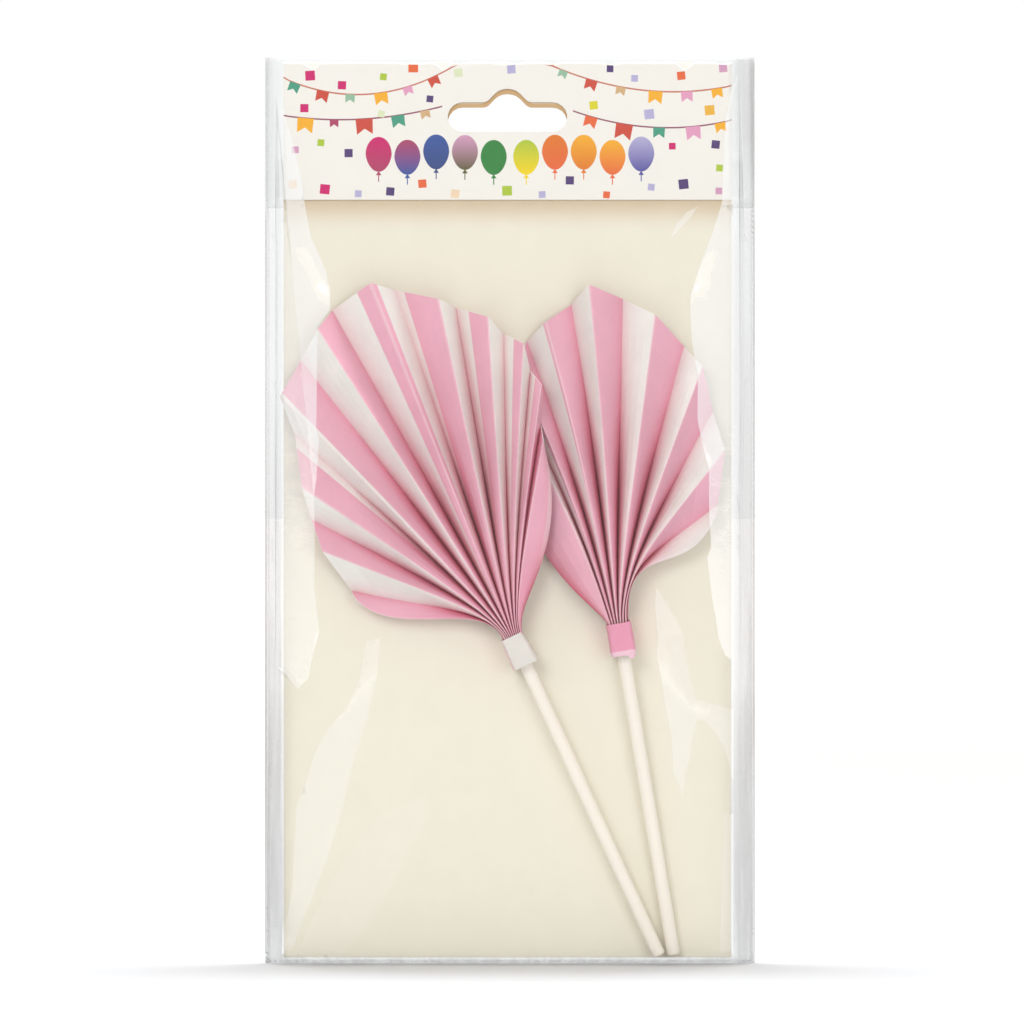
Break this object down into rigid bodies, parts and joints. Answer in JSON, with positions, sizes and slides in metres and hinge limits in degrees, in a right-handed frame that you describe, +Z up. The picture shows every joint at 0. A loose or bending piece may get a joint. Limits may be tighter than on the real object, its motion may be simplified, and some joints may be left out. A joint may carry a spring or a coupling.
{
  "type": "cake topper pack",
  "caption": "Hanging clear pouch with a printed header over a plain card, holding two pleated paper fan cake toppers on round sticks.",
  "frame": {"origin": "crown of the backing card's hang slot, where a peg bears, half way through the card's thickness", "axes": "+Z up the hanging pack, -Y out of its printed front, +X to the viewer's right"},
  "size_m": [0.1313, 0.0135, 0.2426],
  "materials": {
    "board": "matt cream board",
    "header": "off-white printed card",
    "film": "clear glossy film",
    "adhesive": "clear tacky strip",
    "fan_paper": "matt paper printed in pink and white stripes",
    "white_paper": "matt white paper",
    "pink_paper": "matt pink paper",
    "stick_paper": "matt rolled paper"
  },
  "bodies": {
    "pack": {"backing_card": "board", "header_card": "header", "pouch_front": "film", "pouch_back": "film"},
    "flap": {"pouch_flap": "film", "flap_adhesive": "adhesive"},
    "topper_left": {"fan_left": "fan_paper", "wrap_left": "white_paper", "stick_left": "stick_paper"},
    "topper_right": {"fan_right": "fan_paper", "wrap_right": "pink_paper", "stick_right": "stick_paper"}
  },
  "joints": [
    {"name": "flap_hinge", "type": "hinge", "parent": "pack", "child": "flap", "pos_m": [0, -0.0015, 0.00935], "axis": [1, 0, 0], "range_deg": [0, 170]},
    {"name": "topper_left_slide", "type": "slide", "parent": "pack", "child": "topper_left", "axis": [0, 0, 1], "range_m": [0, 0.005]},
    {"name": "topper_right_slide", "type": "slide", "parent": "topper_left", "child": "topper_right", "axis": [0, 0, 1], "range_m": [0, 0.005]}
  ]
}
